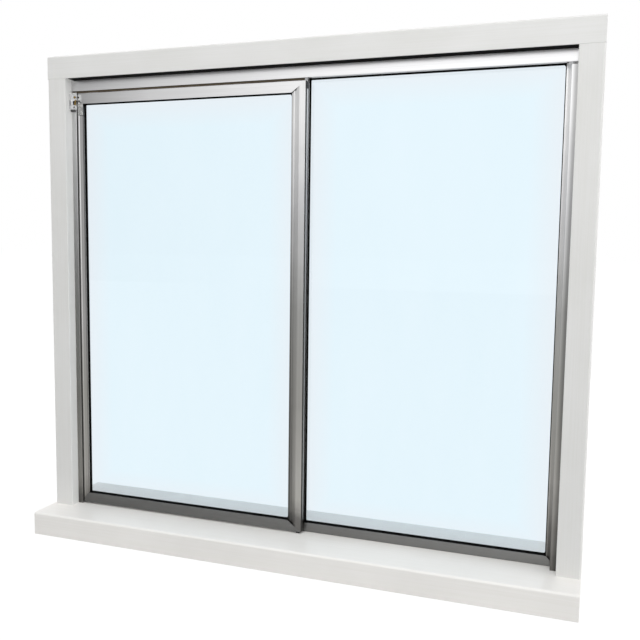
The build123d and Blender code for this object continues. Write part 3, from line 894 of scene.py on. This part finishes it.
# %% Rivet of the tongue
RIVET_RADIUS = 1.0 * MM
RIVET_LENGTH = 0.8 * MM
RIVET_ABOVE = 4.2 * MM
RIVET_DOME = 0.35 * MM
TONGUE_LEAN = math.radians(-6.0)
rivet_place = Vector((middle.x, low.y + 0.15 * MM, middle.z + RIVET_ABOVE))
rivet = add_disc("rivet", rivet_place, RIVET_RADIUS, RIVET_LENGTH, 20)
pick(rivet, edges=lambda a, b: max(a.y, b.y) < rivet_place.y)
bpy.ops.mesh.bevel(offset=RIVET_DOME, segments=3)
close(rivet)
only(tongue, rivet)
bpy.ops.object.join()
pick(tongue, faces=lambda place, normal: True)
bpy.ops.transform.rotate(value=TONGUE_LEAN, orient_axis="Y", center_override=middle)
soften(tongue, 0.10 * MM)
top = max((vertex.co for vertex in tongue.data.vertices), key=lambda co: co.z)
print("tongue leans towards the right by", round((top.x - middle.x) / MM, 2), "mm")
fit(tongue, "latch_lever", worn_brass)

# %% [markdown]
# ## Knurled finger pull
# The pull is a pressed plate 14.4 mm wide and 25.6 mm tall with rounded corners and a raised rim. Its floor
# is 0.7 mm deep and covered with small blunt points about 2 mm apart, which is what sparkles there in the
# photograph. The floor is cut into a grid, and every square of it is inset and pushed forward by itself.
# The plate's corners are rounded last, because these wide insets would break small round corners.

# %% Knurled finger pull
RIM = 1.3 * MM
RIM_SLOPE = 0.4 * MM
FLOOR_DEPTH = 0.7 * MM
POINT_COLUMNS = 5
POINT_ROWS = 10
POINT_SLOPE = 0.55 * MM
POINT_HEIGHT = 0.5 * MM
low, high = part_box("sash_pull")
pull = add_block("knurled_finger_pull", low, high)
pick(pull, faces=lambda place, normal: normal.y < -0.9)
bpy.ops.mesh.inset(thickness=RIM)
bpy.ops.mesh.inset(thickness=RIM_SLOPE, depth=-FLOOR_DEPTH)
inward = Vector((1, 0, 1)) * (RIM + RIM_SLOPE)
floor_low = low + inward
floor_high = high - inward


def on_floor(place, normal):
    """Whether a face lies on the sunk floor of the pull and looks forward."""
    return normal.y < -0.9 and place.y > low.y + 0.5 * MM


for direction, count in (((1, 0, 0), POINT_COLUMNS), ((0, 0, 1), POINT_ROWS)):
    for i in range(1, count):
        pick(pull, faces=on_floor)
        bpy.ops.mesh.bisect(plane_co=floor_low.lerp(floor_high, i / count), plane_no=direction)
pick(pull, faces=on_floor)
bpy.ops.mesh.inset(thickness=POINT_SLOPE, depth=POINT_HEIGHT, use_individual=True)
print("blunt points on the pull:", POINT_COLUMNS * POINT_ROWS)

# %% Rounded corners of the pull
CORNER_RADIUS = 1.4 * MM
corners = {(round(x, 6), round(z, 6)) for x in (low.x, high.x) for z in (low.z, high.z)}


def on_corner(a, b):
    """Whether an edge runs from front to back at a corner of the plate."""
    return {(round(v.x, 6), round(v.z, 6)) for v in (a, b)} <= corners and abs(a.y - b.y) > MM


pick(pull, edges=on_corner)
bpy.ops.mesh.bevel(offset=CORNER_RADIUS, segments=5)
close(pull)
soften(pull, 0.08 * MM)
fit(pull, "sash_pull", mottled_zinc)

# %% [markdown]
# ## Brush under the header
# A brush fills the 4.5 mm gap between the header and the sash. One tuft of bristles, 1 mm wide, is modelled
# and copied every 0.9 mm along the whole sash, and then the tips are shaken a little so that no two tufts
# are alike. A strip with rounded edges grips them behind the header's face.

# %% Tufts of the brush
TUFT_RADIUS = 0.5 * MM
TUFT_STEP = 0.9 * MM
END_GAP = 0.6 * MM
TIP_GAP = 0.12 * MM
STRIP_HEIGHT = 2.0 * MM
SHAKEN_TIP = 0.6 * MM
SHAKE = 0.12 * MM
low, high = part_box("head_brush")
tip = low.z + TIP_GAP
root = high.z - STRIP_HEIGHT
tuft_middle = (low.x + END_GAP, (low.y + high.y) / 2, (tip + root) / 2)
brush = add_disc("tufted_head_brush", tuft_middle, TUFT_RADIUS, root - tip, 6, (0, 0, 0))
pick(brush, faces=lambda place, normal: abs(normal.z) < 0.5)
bpy.ops.mesh.bisect(plane_co=(0, 0, (tip + root) / 2), plane_no=(0, 0, 1))
pick(brush, faces=lambda place, normal: normal.z < -0.9)
bpy.ops.mesh.inset(thickness=0.2 * MM, depth=-0.3 * MM)
close(brush)
row = brush.modifiers.new("row", "ARRAY")
row.use_relative_offset = False
row.use_constant_offset = True
row.constant_offset_displace = (TUFT_STEP, 0, 0)
row.count = int((high.x - low.x - 2 * END_GAP) / TUFT_STEP)
only(brush)
print("tufts in the brush:", row.count)
bpy.ops.object.modifier_apply(modifier=row.name)
pick(brush, edges=lambda a, b: max(a.z, b.z) < tip + SHAKEN_TIP)
bpy.ops.transform.vertex_random(offset=SHAKE, uniform=0.0, normal=0.0, seed=7)
close(brush)

# %% Strip that holds the tufts
STRIP_OVERLAP = 0.3 * MM
STRIP_ROUNDING = 0.25 * MM
holder = add_block("holder", Vector((low.x, low.y, root - STRIP_OVERLAP)), high)
pick(holder, edges=lambda a, b: abs(a.x - b.x) > STRIP_HEIGHT)
bpy.ops.mesh.bevel(offset=STRIP_ROUNDING, segments=2)
close(holder)
only(brush, holder)
bpy.ops.object.join()
fit(brush, "head_brush", dusty_pile)
